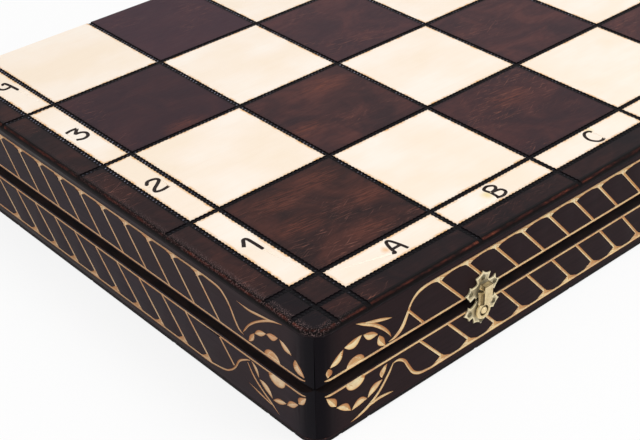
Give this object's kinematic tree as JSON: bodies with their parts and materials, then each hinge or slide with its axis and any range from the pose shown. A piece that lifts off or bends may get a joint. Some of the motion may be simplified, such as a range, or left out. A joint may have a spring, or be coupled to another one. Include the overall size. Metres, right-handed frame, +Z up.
{
  "type": "chess box",
  "caption": "Folding wooden chess box: two carved trays on back hinges, each with half the board as its outer panel, held shut by brass swing latches.",
  "frame": {"origin": "middle of the underside of the closed case, on the surface it stands on", "axes": "+X along the long side from file A to file H, -Y towards the latches and +Y towards the hinges, +Z up"},
  "size_m": [0.54, 0.2767, 0.055],
  "materials": {
    "board_wood": "satin lacquer over stained and natural squares",
    "rail_wood": "satin lacquer over dark stain, carving left pale",
    "felt": "napped felt",
    "hinge_brass": "plated",
    "hinge_steel": "plain",
    "latch_brass": "antique plated, rubbed bright on the edges"
  },
  "bodies": {
    "base": {"base_board": "board_wood", "base_front_rail": "rail_wood", "base_back_rail": "rail_wood", "base_left_rail": "rail_wood", "base_right_rail": "rail_wood", "base_lining": "felt", "hinge_left_base_leaf": "hinge_brass", "hinge_right_base_leaf": "hinge_brass", "hinge_left_pin": "hinge_steel", "hinge_right_pin": "hinge_steel", "hinge_base_screws": "hinge_brass", "latch_left_base_plate": "latch_brass", "latch_right_base_plate": "latch_brass", "latch_left_rivet": "latch_brass", "latch_right_rivet": "latch_brass", "latch_base_nails": "latch_brass"},
    "lid": {"lid_board": "board_wood", "lid_front_rail": "rail_wood", "lid_back_rail": "rail_wood", "lid_left_rail": "rail_wood", "lid_right_rail": "rail_wood", "lid_lining": "felt", "hinge_left_lid_leaf": "hinge_brass", "hinge_right_lid_leaf": "hinge_brass", "hinge_lid_screws": "hinge_brass", "latch_left_catch_plate": "latch_brass", "latch_right_catch_plate": "latch_brass", "latch_lid_nails": "latch_brass"},
    "latch_left_lever": {"latch_left_lever": "latch_brass"},
    "latch_right_lever": {"latch_right_lever": "latch_brass"}
  },
  "joints": [
    {"name": "lid_hinge", "type": "hinge", "parent": "base", "child": "lid", "pos_m": [0, 0.13515, 0.0275], "axis": [-1, 0, 0], "range_deg": [0, 180]},
    {"name": "latch_left_swing", "type": "hinge", "parent": "base", "child": "latch_left_lever", "pos_m": [-0.18, -0.135, 0.021], "axis": [0, 1, 0], "range_deg": [0, 100]},
    {"name": "latch_right_swing", "type": "hinge", "parent": "base", "child": "latch_right_lever", "pos_m": [0.18, -0.135, 0.021], "axis": [0, 1, 0], "range_deg": [0, 100]}
  ]
}
